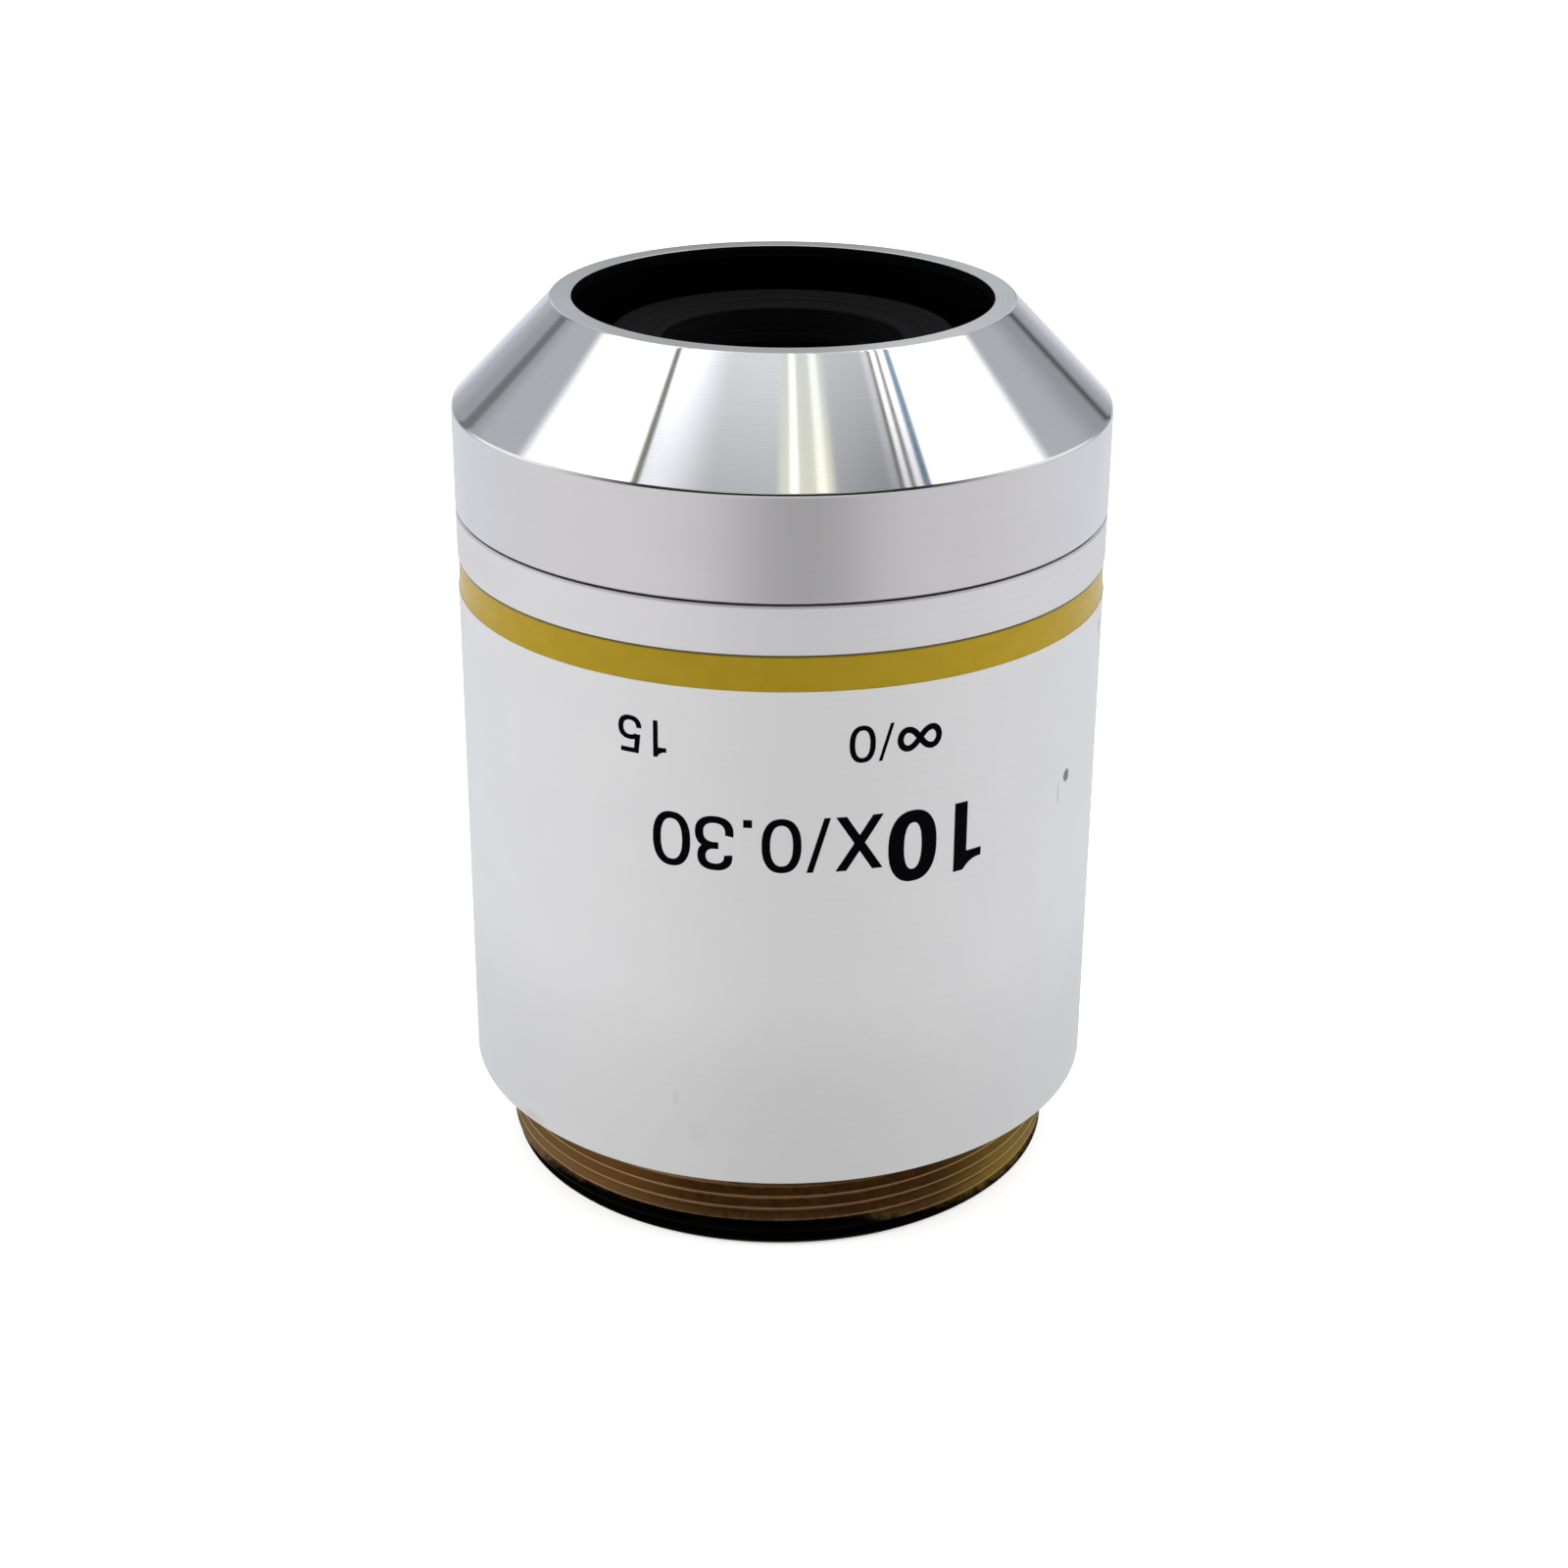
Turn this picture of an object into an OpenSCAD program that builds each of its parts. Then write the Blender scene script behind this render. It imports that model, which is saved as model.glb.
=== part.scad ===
// Bright-field and dark-field microscope objective, standing on its mounting thread.
// Z = 0 is the rear end of the thread and +Z points to the specimen.
// Sizes are in millimetres.

/* [Housing] */
// Outside diameter of the mounting thread
thread_d = 32; // [26:0.1:38]
// Width of the step from the thread out to the sleeve
shoulder_w = 2.1; // [1.6:0.1:2.6]
// Length from the mounting shoulder to the nose rim
body_len = 45; // [38:0.5:60]
// Wall of the outer sleeve between its ends
sleeve_wall = 2.0; // [1.6:0.1:2.4]
// Wall of the sleeve round the flange of the mount
foot_wall = 0.9; // [0.6:0.1:1.2]
// Bevel on the outer edges of the sleeve
sleeve_bevel = 0.12; // [0.05:0.01:0.3]

/* [Nose] */
// Width of the cone, from the body inwards to the rim
cone_w = 5.5; // [4.5:0.1:6.5]
// Width of the flat rim at the tip
rim_w = 1.15; // [1:0.05:1.5]
// Height of the straight lip inside the front opening
lip_h = 0.6; // [0.3:0.1:1.2]
// Height of the cone
cone_len = 5.65; // [4.6:0.05:7]
// Height of the straight skirt below the cone
skirt_len = 5.65; // [4.6:0.05:8]
// Wall of the skirt round the sleeve spigot
skirt_wall = 1.1; // [0.8:0.1:1.2]
// Bevel on the outer edges of the skirt
nose_bevel = 0.08; // [0.04:0.01:0.15]
// Height of the straight wall inside the nose above its step
well_h = 0.9; // [0.6:0.1:1.4]
// Open seam between the skirt and the sleeve
seam_gap = 0.12; // [0.06:0.01:0.2]

/* [Colour band] */
// Distance from the seam to the band
band_offset = 2.75; // [1.5:0.05:6]
// Width of the band
band_w = 1.94; // [1:0.02:4]
// Depth of the groove that holds the enamel
band_groove = 0.15; // [0.1:0.01:0.3]
// Depth of the enamel surface below the sleeve
band_sunk = 0.05; // [0.02:0.01:0.08]

/* [Mount] */
// Length of the mounting thread with its relief
thread_len = 5.3; // [4.3:0.1:8]
// Width of the thread relief below the shoulder
relief_w = 0.8; // [0.5:0.1:1.2]
// Depth of the thread relief
relief_depth = 0.6; // [0.4:0.1:0.8]
// Bevel at the free end of the thread
thread_bevel = 0.3; // [0.1:0.05:0.5]
// Height of the flange inside the sleeve
flange_h = 3.5; // [2.5:0.1:5]
// Wall of the mount inside the thread
mount_wall = 1.4; // [1.1:0.1:1.7]
// Height of the lip that carries the spider
mount_lip_h = 1.2; // [0.8:0.1:1.5]
// Width of the lip that carries the spider
mount_lip_w = 0.7; // [0.5:0.05:0.8]

/* [Spider] */
// Height of the spider rim and spokes
spider_h = 3.0; // [2:0.1:3.6]
// Wall of the spider rim
spider_rim_wall = 0.8; // [0.6:0.05:1]
// Width of the light path between the rim and the hub
light_path_w = 2.5; // [2:0.1:3]
// Height of the hub above the spokes
hub_rise = 2.0; // [1:0.1:3]
// Number of spokes
spokes = 3; // [3:1:6]
// Width of a spoke
spoke_w = 1.4; // [1:0.1:2]
// Height of the lock ring on the spider rim
spider_lock_h = 1.5; // [1:0.1:2]
// Height of the parfocal shim on the hub
shim_h = 0.3; // [0.1:0.05:0.5]

/* [Lens barrel] */
// Step from the hub in to the barrel
hub_margin = 0.4; // [0.2:0.05:0.6]
// Wall of the lens barrel
barrel_wall = 1.6; // [1.3:0.1:1.9]
// Step from the barrel in to its spigot in the hub
barrel_step = 0.7; // [0.5:0.05:0.9]
// Depth of the barrel end inside the hub
barrel_end_sunk = 0.5; // [0.2:0.1:1.5]
// Bevel on the front edge of the barrel
barrel_bevel = 0.4; // [0.1:0.1:0.7]

/* [Front cap] */
// Depth of the front cap below the nose rim
cap_recess = 2.05; // [1.5:0.05:3]
// Dish of the front face towards its opening
cap_dish = 0.4; // [0.1:0.05:0.5]
// Wall of the barrel round the cap
cap_socket_wall = 1.0; // [0.8:0.05:1.2]
// Length of the front cap inside the barrel
cap_engagement = 3.5; // [2.5:0.1:4.5]
// Width of the slope outside the front face
cap_slope_w = 0.6; // [0.3:0.05:1]
// Height of the slope outside the front face
cap_slope_h = 0.6; // [0.3:0.05:1.6]
// Wall of the cap round the front lens
cap_wall = 2.5; // [2:0.1:3]
// Depth of the opening in the front face
cap_mouth_depth = 1.4; // [1:0.1:2]
// Thickness of the lip that seats the front lens
cap_lip_h = 0.4; // [0.3:0.05:0.6]
// Width of the lip over the front lens
cap_lip_w = 1.25; // [1:0.05:1.5]
// Step from the aperture in that lip out to the opening
cap_mouth_step = 0.45; // [0.3:0.05:0.6]

/* [Front lens] */
// Centre thickness of the front lens
front_lens_t = 4.2; // [3.4:0.1:5]
// Radius of its hollow front face
front_lens_front_curve = 14; // [11.5:0.5:20]
// Radius of its rear face
front_lens_rear_curve = 14; // [11.5:0.5:18]
// Height of the ring that holds the front lens
front_lens_ring_h = 1.2; // [0.8:0.1:1.6]
// Width of the rear face under that ring
front_lens_ring_seat = 0.9; // [0.7:0.1:1.2]
// Depth of that ring inside the rear end of the cap
front_lens_ring_sunk = 0.33; // [0.1:0.01:0.5]
// Step from the bore for the front lens to the bore for its ring
front_lens_ring_step = 0.4; // [0.3:0.05:0.6]

/* [Second lens] */
// Wall of the cell of the second lens
second_cell_wall = 1.46; // [1.2:0.01:1.8]
// Centre thickness of the second lens
second_lens_t = 3.2; // [2.6:0.1:3.8]
// Radius of its hollow front face
second_lens_front_curve = 40; // [30:1:60]
// Radius of its rear face
second_lens_rear_curve = 18; // [14.5:0.5:24]

/* [Fore doublet] */
// Wall of the cell of the fore doublet
fore_cell_wall = 1.06; // [0.85:0.01:1.3]
// Centre thickness of its flint
fore_flint_t = 1.6; // [1.2:0.1:2]
// Edge thickness of its crown
fore_crown_edge = 1.2; // [0.9:0.1:1.5]
// Radius of its front face
fore_front_curve = 32; // [26:1:60]
// Radius of its cemented face
fore_cement_curve = 14; // [11.5:0.5:18]
// Radius of its rear face
fore_rear_curve = 20; // [16:0.5:24]

/* [Middle doublet] */
// Wall of the cell of the middle doublet
middle_cell_wall = 1.51; // [1.2:0.01:1.8]
// Edge thickness of its crown
middle_crown_edge = 1.2; // [0.9:0.1:1.5]
// Centre thickness of its flint
middle_flint_t = 1.6; // [1.2:0.1:2]
// Radius of its front face
middle_front_curve = 22; // [18:0.5:30]
// Radius of its cemented face
middle_cement_curve = 18; // [14.5:0.5:22]
// Radius of its hollow rear face
middle_rear_curve = 24; // [20:0.5:40]

/* [Rear doublet] */
// Wall of the cell of the rear doublet
rear_cell_wall = 2.66; // [2.1:0.01:3.2]
// Centre thickness of its flint
rear_flint_t = 1.5; // [1.2:0.1:2]
// Edge thickness of its crown
rear_crown_edge = 1.0; // [0.8:0.1:1.3]
// Radius of its hollow front face
rear_front_curve = 16; // [13:0.5:24]
// Radius of its cemented face
rear_cement_curve = 20; // [16:0.5:26]
// Radius of its rear face
rear_rear_curve = 15; // [12:0.5:20]

/* [Lens cells] */
// Thickness of the lip at the front of each cell
cell_lip = 0.5; // [0.4:0.05:0.7]
// Length of each cell behind the edge of its lens
cell_tail = 0.6; // [0.5:0.05:0.9]
// Width of the seat between the lens edge and the aperture of its cell
cell_seat_w = 0.6; // [0.4:0.05:0.8]
// Width of the flat rim round a hollow glass face
dish_rim = 0.8; // [0.7:0.05:0.9]
// Width of the flat at the edge of a cemented face
cement_flat = 0.15; // [0.1:0.05:0.2]
// Length of the spacer behind the second lens
spacer_1_len = 2.2; // [1.8:0.05:2.6]
// Length of the spacer behind the fore doublet
spacer_2_len = 2.4; // [1.9:0.05:2.8]
// Length of the spacer behind the middle doublet
spacer_3_len = 3.0; // [2:0.1:3.6]
// Wall of the spacers
spacer_wall = 1.3; // [1.1:0.05:1.5]
// Least gap between the middles of two facing glass faces
face_gap = 0.3; // [0.2:0.05:0.5]
// Sideways play of the cell that the centring screws hold
centring_play = 0.15; // [0.1:0.01:0.2]
// Diameter of a centring screw
screw_d = 1.6; // [1.2:0.1:2]
// Depth of a screw head below the barrel surface
screw_sunk = 0.2; // [0.1:0.05:0.3]
// Width of a screw slot
screw_slot_w = 0.32; // [0.2:0.02:0.5]
// Depth of a screw slot
screw_slot_depth = 0.4; // [0.2:0.05:0.6]
// Number of centring screws
screws = 3; // [3:1:4]

/* [Rear stop and ring] */
// Thickness of the rear stop
stop_t = 0.6; // [0.4:0.1:1]
// Width of the rear face that the stop covers
stop_lip_w = 0.6; // [0.3:0.05:0.9]
// Length of the rear retaining ring
retainer_len = 2.5; // [2:0.1:3]
// Wall of the rear retaining ring
retainer_wall = 2.08; // [1.6:0.01:2.6]
// Width of the two spanner slots
slot_w = 1.2; // [0.8:0.1:1.6]
// Depth of the two spanner slots
slot_depth = 0.9; // [0.5:0.1:1.3]

/* [Dark-field mirror] */
// Thickness of the mirror flange
mirror_flange_h = 0.9; // [0.7:0.1:1]
// Gap from the mirror up to the lip of the nose
mirror_top_gap = 2.25; // [1.8:0.05:2.8]
// Depth of the mirror below its flange
mirror_drop = 2.2; // [1:0.1:3]
// Wall of the mirror at its flange
mirror_wall = 1.96; // [1.6:0.01:2.3]
// Distance from the nose rim to the specimen
working_distance = 15; // [12:0.5:18]

/* [Fits] */
// Radial gap between parts that screw or slide together
fit_gap = 0.02; // [0.01:0.01:0.04]
// Radial gap round the mirror body
mirror_gap = 0.12; // [0.08:0.01:0.2]

/* [Hidden] */
$fn = 144;
// Overshoot of a cutting tool past the face that it cuts
over = 1;
// Straight pieces in the generated curve of the mirror
mirror_steps = 12;

// Depth of a round face of this radius at a distance from its middle
function sag(curve, at) = curve - sqrt(curve * curve - at * at);

// Front of the next cell: at its stop, or further back where the glass faces need their gap
function next_z(stop_z, face_z, bulge) = min(stop_z, face_z - face_gap - bulge);

// Radii of the housing
thread_r = thread_d / 2;
body_r = thread_r + shoulder_w;
sleeve_bore_r = body_r - sleeve_wall;
flange_r = body_r - foot_wall - fit_gap;
skirt_bore_r = body_r - skirt_wall;
rim_r = body_r - cone_w;
mouth_r = rim_r - rim_w;

// Heights of the housing
shoulder_z = thread_len;
front_z = shoulder_z + body_len;
cone_base_z = front_z - cone_len;
seam_z = cone_base_z - skirt_len;
sleeve_top_z = seam_z - seam_gap;
band_top_z = seam_z - band_offset;
band_bottom_z = band_top_z - band_w;

// Inside of the nose, parallel to the outer cone down to a straight wall and a step
cone_slope = cone_w / cone_len;
nose_well_r = sleeve_bore_r - fit_gap;
lip_z = front_z - lip_h;
nose_well_top_z = lip_z - (nose_well_r - mouth_r) / cone_slope;
nose_step_z = nose_well_top_z - well_h;
spigot_top_z = nose_step_z - mirror_flange_h;

// Spider and hub
mount_bore_r = thread_r - mount_wall;
spider_r = mount_bore_r - fit_gap;
spider_z = mount_lip_h;
spider_top_z = spider_z + spider_h;
hub_r = spider_r - spider_rim_wall - light_path_w;
hub_top_z = spider_top_z + hub_rise;
barrel_seat_z = hub_top_z + shim_h;

// Lens barrel and the radii of what it holds
barrel_r = hub_r - hub_margin;
barrel_bore_r = barrel_r - barrel_wall;
barrel_spigot_r = barrel_r - barrel_step;
barrel_end_z = spider_z + barrel_end_sunk;
cell_r = barrel_bore_r - fit_gap;
cap_r = barrel_r - cap_socket_wall;
front_lens_r = cap_r - cap_wall;
second_lens_r = cell_r - second_cell_wall - fit_gap;
fore_r = cell_r - fore_cell_wall - fit_gap;
middle_r = cell_r - centring_play - middle_cell_wall - fit_gap;
rear_r = cell_r - rear_cell_wall - fit_gap;

// Middle of each front face above the front of its cell, negative where it is hollow
second_lens_dish_r = second_lens_r - dish_rim;
rear_dish_r = rear_r - dish_rim;
second_bulge = -cell_lip - sag(second_lens_front_curve, second_lens_dish_r);
fore_bulge = sag(fore_front_curve, fore_r - cell_seat_w) - fit_gap - cell_lip;
middle_bulge = sag(middle_front_curve, middle_r - cell_seat_w) - fit_gap - cell_lip;
rear_bulge = -cell_lip - sag(rear_front_curve, rear_dish_r);

// Front lens, seated under the lip of the cap
cap_front_z = front_z - cap_recess;
cap_seat_z = cap_front_z - cap_dish - cap_mouth_depth - cap_lip_h;
front_lens_dish_r = front_lens_r - dish_rim;
front_lens_front_z = cap_seat_z - sag(front_lens_front_curve, front_lens_dish_r);
front_lens_rear_z = front_lens_front_z - front_lens_t;
front_lens_ring_bore_r = front_lens_r - front_lens_ring_seat;
front_lens_ring_r = front_lens_r + front_lens_ring_step;
front_lens_ring_touch = sag(front_lens_rear_curve, front_lens_ring_bore_r);
front_lens_ring_top_z = front_lens_rear_z + front_lens_ring_touch - fit_gap;
front_lens_ring_end_z = front_lens_ring_top_z - front_lens_ring_h;
cap_rear_z = next_z(front_lens_ring_end_z - front_lens_ring_sunk, front_lens_rear_z, second_bulge);
barrel_front_z = cap_rear_z + cap_engagement;

// Second lens: flat front rim on the seat of its cell
second_lens_cell_z = cap_rear_z;
second_lens_front_z = second_lens_cell_z + second_bulge;
second_lens_rear_z = second_lens_front_z - second_lens_t;
second_lens_edge_z = second_lens_rear_z + sag(second_lens_rear_curve, second_lens_r);
second_lens_cell_end_z = second_lens_edge_z - cell_tail;

// Fore doublet: its round front face rests on the edge of the aperture
fore_crown_t = fore_crown_edge + sag(fore_cement_curve, fore_r) + sag(fore_rear_curve, fore_r);
fore_cell_z = next_z(second_lens_cell_end_z - spacer_1_len, second_lens_rear_z, fore_bulge);
fore_front_z = fore_cell_z + fore_bulge;
fore_cement_z = fore_front_z - fore_flint_t;
fore_rear_z = fore_cement_z - fore_crown_t;
fore_edge_z = fore_rear_z + sag(fore_rear_curve, fore_r);
fore_cell_end_z = fore_edge_z - cell_tail;

// Middle doublet: round front face, hollow rear face
middle_crown_sag = sag(middle_front_curve, middle_r) + sag(middle_cement_curve, middle_r);
middle_crown_t = middle_crown_edge + middle_crown_sag;
middle_dish_r = middle_r - dish_rim;
middle_cell_z = next_z(fore_cell_end_z - spacer_2_len, fore_rear_z, middle_bulge);
middle_front_z = middle_cell_z + middle_bulge;
middle_cement_z = middle_front_z - middle_crown_t;
middle_rear_z = middle_cement_z - middle_flint_t;
middle_edge_z = middle_rear_z - sag(middle_rear_curve, middle_dish_r);
middle_cell_end_z = middle_edge_z - cell_tail;
middle_cell_mid_z = (middle_cell_z + middle_cell_end_z) / 2;

// Rear doublet: hollow front face on the seat, round rear face
rear_crown_t = rear_crown_edge + sag(rear_cement_curve, rear_r) + sag(rear_rear_curve, rear_r);
rear_cell_z = next_z(middle_cell_end_z - spacer_3_len, middle_rear_z, rear_bulge);
rear_front_z = rear_cell_z + rear_bulge;
rear_cement_z = rear_front_z - rear_flint_t;
rear_rear_z = rear_cement_z - rear_crown_t;
rear_edge_z = rear_rear_z + sag(rear_rear_curve, rear_r);
rear_cell_end_z = rear_edge_z - cell_tail;

// Rear stop and retaining ring
stop_z = rear_cell_end_z - stop_t;
retainer_z = stop_z - retainer_len;

// Paraboloid that sends a beam along the axis to the specimen
mirror_flange_z = spigot_top_z;
mirror_drop_z = mirror_flange_z - mirror_drop;
mirror_top_z = lip_z - mirror_top_gap;
mirror_body_r = nose_well_r - mirror_gap;
mirror_r = mirror_body_r - mirror_wall;
specimen_rise = front_z + working_distance - mirror_flange_z;
mirror_p = (sqrt(specimen_rise * specimen_rise + mirror_r * mirror_r) - specimen_rise) / 2;
function mirror_r_at(z) = sqrt(4 * mirror_p * (mirror_flange_z + specimen_rise + mirror_p - z));
function nose_inner_r(z) = mouth_r + (lip_z - z) * cone_slope;

// Ring between two heights
module ring(outer, inner, low, high) {
    translate([0, 0, low]) difference() {
        cylinder(r = outer, h = high - low);
        translate([0, 0, -over]) cylinder(r = inner, h = high - low + 2 * over);
    }
}

// Solid disc between two heights
module disc(r, low, high) {
    translate([0, 0, low]) cylinder(r = r, h = high - low);
}

// What a face leaves of a glass blank: a ball for a round face, all of it for a hollow one
module face_limit(curve, centre_z, blank_r, low, high) {
    if (curve > 0) translate([0, 0, centre_z]) sphere(r = curve);
    else disc(blank_r, low, high);
}

// Lens between two face centres: a positive curve is round, a negative one hollow
module lens(edge_r, front, rear, front_curve, rear_curve, front_dish_r = 0, rear_dish_r = 0) {
    high = front_curve > 0 ? front + over : front + sag(-front_curve, front_dish_r);
    low = rear_curve > 0 ? rear - over : rear - sag(-rear_curve, rear_dish_r);
    difference() {
        intersection() {
            disc(edge_r, low, high);
            face_limit(front_curve, front - front_curve, edge_r + over, low - over, high + over);
            face_limit(rear_curve, rear + rear_curve, edge_r + over, low - over, high + over);
        }
        if (front_curve < 0) translate([0, 0, front - front_curve]) sphere(r = -front_curve);
        if (rear_curve < 0) translate([0, 0, rear + rear_curve]) sphere(r = -rear_curve);
    }
}

// Cell with a lip at the front and a bore for the lens behind it
module cell(outer, lens_r, top, end) {
    difference() {
        ring(outer, lens_r - cell_seat_w, end, top);
        disc(lens_r + fit_gap, end - over, top - cell_lip);
    }
}

// Spacer between two cells
module spacer(low, high) {
    ring(cell_r, cell_r - spacer_wall, low, high);
}

module nose_cone() {
    color([0.82, 0.83, 0.85]) rotate_extrude() polygon([
        [mouth_r, front_z], [rim_r, front_z],
        [body_r - nose_bevel, cone_base_z + nose_bevel / cone_slope],
        [body_r, cone_base_z - nose_bevel],
        [body_r, seam_z + nose_bevel], [body_r - nose_bevel, seam_z],
        [skirt_bore_r, seam_z], [skirt_bore_r, nose_step_z],
        [nose_well_r, nose_step_z], [nose_well_r, nose_well_top_z],
        [mouth_r, lip_z]
    ]);
}

module outer_sleeve() {
    spigot_r = skirt_bore_r - fit_gap;
    foot_bore_r = body_r - foot_wall;
    foot_top_z = shoulder_z + flange_h;
    groove_r = body_r - band_groove;
    color([0.83, 0.83, 0.85]) rotate_extrude() polygon([
        [sleeve_bore_r, spigot_top_z], [spigot_r, spigot_top_z], [spigot_r, sleeve_top_z],
        [body_r - sleeve_bevel, sleeve_top_z], [body_r, sleeve_top_z - sleeve_bevel],
        [body_r, band_top_z], [groove_r, band_top_z],
        [groove_r, band_bottom_z], [body_r, band_bottom_z],
        [body_r, shoulder_z + sleeve_bevel], [body_r - sleeve_bevel, shoulder_z],
        [foot_bore_r, shoulder_z], [foot_bore_r, foot_top_z],
        [sleeve_bore_r, foot_top_z]
    ]);
}

module colour_band() {
    color([0.68, 0.54, 0.12])
        ring(body_r - band_sunk, body_r - band_groove, band_bottom_z, band_top_z);
}

module mount_ring() {
    relief_z = shoulder_z - relief_w;
    color([0.72, 0.55, 0.28]) difference() {
        union() {
            disc(thread_r, thread_bevel, relief_z);
            cylinder(r1 = thread_r - thread_bevel, r2 = thread_r, h = thread_bevel);
            disc(thread_r - relief_depth, relief_z, shoulder_z);
            disc(flange_r, shoulder_z, shoulder_z + flange_h);
        }
        disc(mount_bore_r - mount_lip_w, -over, mount_lip_h + over);
        disc(mount_bore_r, mount_lip_h, shoulder_z + flange_h + over);
    }
}

module spider() {
    spoke_mid_r = (hub_r + spider_r - spider_rim_wall) / 2;
    spoke_reach = spider_r - hub_r;
    color([0.09, 0.09, 0.1]) difference() {
        union() {
            ring(spider_r, spider_r - spider_rim_wall, spider_z, spider_top_z);
            disc(hub_r, spider_z, hub_top_z);
            for (i = [0 : spokes - 1]) rotate([0, 0, 90 + i * 360 / spokes])
                translate([spoke_mid_r, 0, (spider_z + spider_top_z) / 2])
                    cube([spoke_reach, spoke_w, spider_h], center = true);
        }
        disc(barrel_spigot_r + fit_gap, spider_z - over, hub_top_z + over);
    }
}

module spider_lock_ring() {
    color([0.09, 0.09, 0.1])
        ring(spider_r, spider_r - spider_rim_wall, spider_top_z, spider_top_z + spider_lock_h);
}

module parfocal_shim() {
    color([0.76, 0.62, 0.35])
        ring(barrel_r, barrel_spigot_r + fit_gap, hub_top_z, barrel_seat_z);
}

module lens_barrel() {
    cap_bore_r = cap_r + fit_gap;
    color([0.1, 0.1, 0.11]) difference() {
        rotate_extrude() polygon([
            [barrel_bore_r, barrel_end_z], [barrel_spigot_r, barrel_end_z],
            [barrel_spigot_r, barrel_seat_z], [barrel_r, barrel_seat_z],
            [barrel_r, barrel_front_z - barrel_bevel], [barrel_r - barrel_bevel, barrel_front_z],
            [cap_bore_r, barrel_front_z], [cap_bore_r, cap_rear_z],
            [barrel_bore_r, cap_rear_z]
        ]);
        for (i = [0 : screws - 1]) screw_place(i)
            cylinder(d = screw_d + 2 * fit_gap, h = barrel_r);
    }
}

// Radial place of one centring screw, with the axis of the screw as Z
module screw_place(i) {
    rotate([0, 0, i * 360 / screws]) translate([cell_r - centring_play, 0, middle_cell_mid_z])
        rotate([0, 90, 0]) children();
}

module centring_screws() {
    screw_len = barrel_r - screw_sunk - (cell_r - centring_play);
    color([0.35, 0.35, 0.37]) for (i = [0 : screws - 1]) screw_place(i) difference() {
        cylinder(d = screw_d, h = screw_len);
        translate([0, 0, screw_len])
            cube([screw_slot_w, 2 * screw_d, 2 * screw_slot_depth], center = true);
    }
}

module front_cap() {
    lens_bore_r = front_lens_r + fit_gap;
    ring_bore_r = front_lens_ring_r + fit_gap;
    aperture_r = front_lens_r - cap_lip_w;
    cap_mouth_r = aperture_r + cap_mouth_step;
    color([0.13, 0.13, 0.14]) rotate_extrude() polygon([
        [cap_mouth_r, cap_front_z - cap_dish], [cap_r - cap_slope_w, cap_front_z],
        [cap_r, cap_front_z - cap_slope_h], [cap_r, cap_rear_z],
        [ring_bore_r, cap_rear_z], [ring_bore_r, front_lens_ring_top_z],
        [lens_bore_r, front_lens_ring_top_z], [lens_bore_r, cap_seat_z],
        [aperture_r, cap_seat_z], [aperture_r, cap_seat_z + cap_lip_h],
        [cap_mouth_r, cap_seat_z + cap_lip_h]
    ]);
}

module front_lens() {
    color([0.55, 0.65, 0.75, 0.5])
        lens(front_lens_r, front_lens_front_z, front_lens_rear_z,
            -front_lens_front_curve, front_lens_rear_curve, front_dish_r = front_lens_dish_r);
}

module front_lens_ring() {
    color([0.12, 0.12, 0.13]) ring(front_lens_ring_r, front_lens_ring_bore_r,
        front_lens_ring_end_z, front_lens_ring_top_z);
}

module second_lens() {
    color([0.6, 0.7, 0.75, 0.5])
        lens(second_lens_r, second_lens_front_z, second_lens_rear_z,
            -second_lens_front_curve, second_lens_rear_curve, front_dish_r = second_lens_dish_r);
}

module second_lens_cell() {
    color([0.14, 0.14, 0.15])
        cell(cell_r, second_lens_r, second_lens_cell_z, second_lens_cell_end_z);
}

module spacer_1() {
    color([0.2, 0.2, 0.21]) spacer(fore_cell_z, second_lens_cell_end_z);
}

module fore_doublet_flint() {
    color([0.7, 0.68, 0.55, 0.5])
        lens(fore_r, fore_front_z, fore_cement_z, fore_front_curve, -fore_cement_curve,
            rear_dish_r = fore_r - cement_flat);
}

module fore_doublet_crown() {
    color([0.6, 0.7, 0.75, 0.5])
        lens(fore_r, fore_cement_z, fore_rear_z, fore_cement_curve, fore_rear_curve);
}

module fore_doublet_cell() {
    color([0.14, 0.14, 0.15]) cell(cell_r, fore_r, fore_cell_z, fore_cell_end_z);
}

module spacer_2() {
    color([0.2, 0.2, 0.21]) spacer(middle_cell_z, fore_cell_end_z);
}

module middle_doublet_crown() {
    color([0.6, 0.7, 0.75, 0.5])
        lens(middle_r, middle_front_z, middle_cement_z, middle_front_curve, middle_cement_curve);
}

module middle_doublet_flint() {
    color([0.7, 0.68, 0.55, 0.5])
        lens(middle_r, middle_cement_z, middle_rear_z, -middle_cement_curve, -middle_rear_curve,
            front_dish_r = middle_r - cement_flat, rear_dish_r = middle_dish_r);
}

module middle_doublet_cell() {
    color([0.14, 0.14, 0.15])
        cell(cell_r - centring_play, middle_r, middle_cell_z, middle_cell_end_z);
}

module spacer_3() {
    color([0.2, 0.2, 0.21]) spacer(rear_cell_z, middle_cell_end_z);
}

module rear_doublet_flint() {
    color([0.7, 0.68, 0.55, 0.5])
        lens(rear_r, rear_front_z, rear_cement_z, -rear_front_curve, -rear_cement_curve,
            front_dish_r = rear_dish_r, rear_dish_r = rear_r - cement_flat);
}

module rear_doublet_crown() {
    color([0.6, 0.7, 0.75, 0.5])
        lens(rear_r, rear_cement_z, rear_rear_z, rear_cement_curve, rear_rear_curve);
}

module rear_doublet_cell() {
    color([0.14, 0.14, 0.15]) cell(cell_r, rear_r, rear_cell_z, rear_cell_end_z);
}

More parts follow.
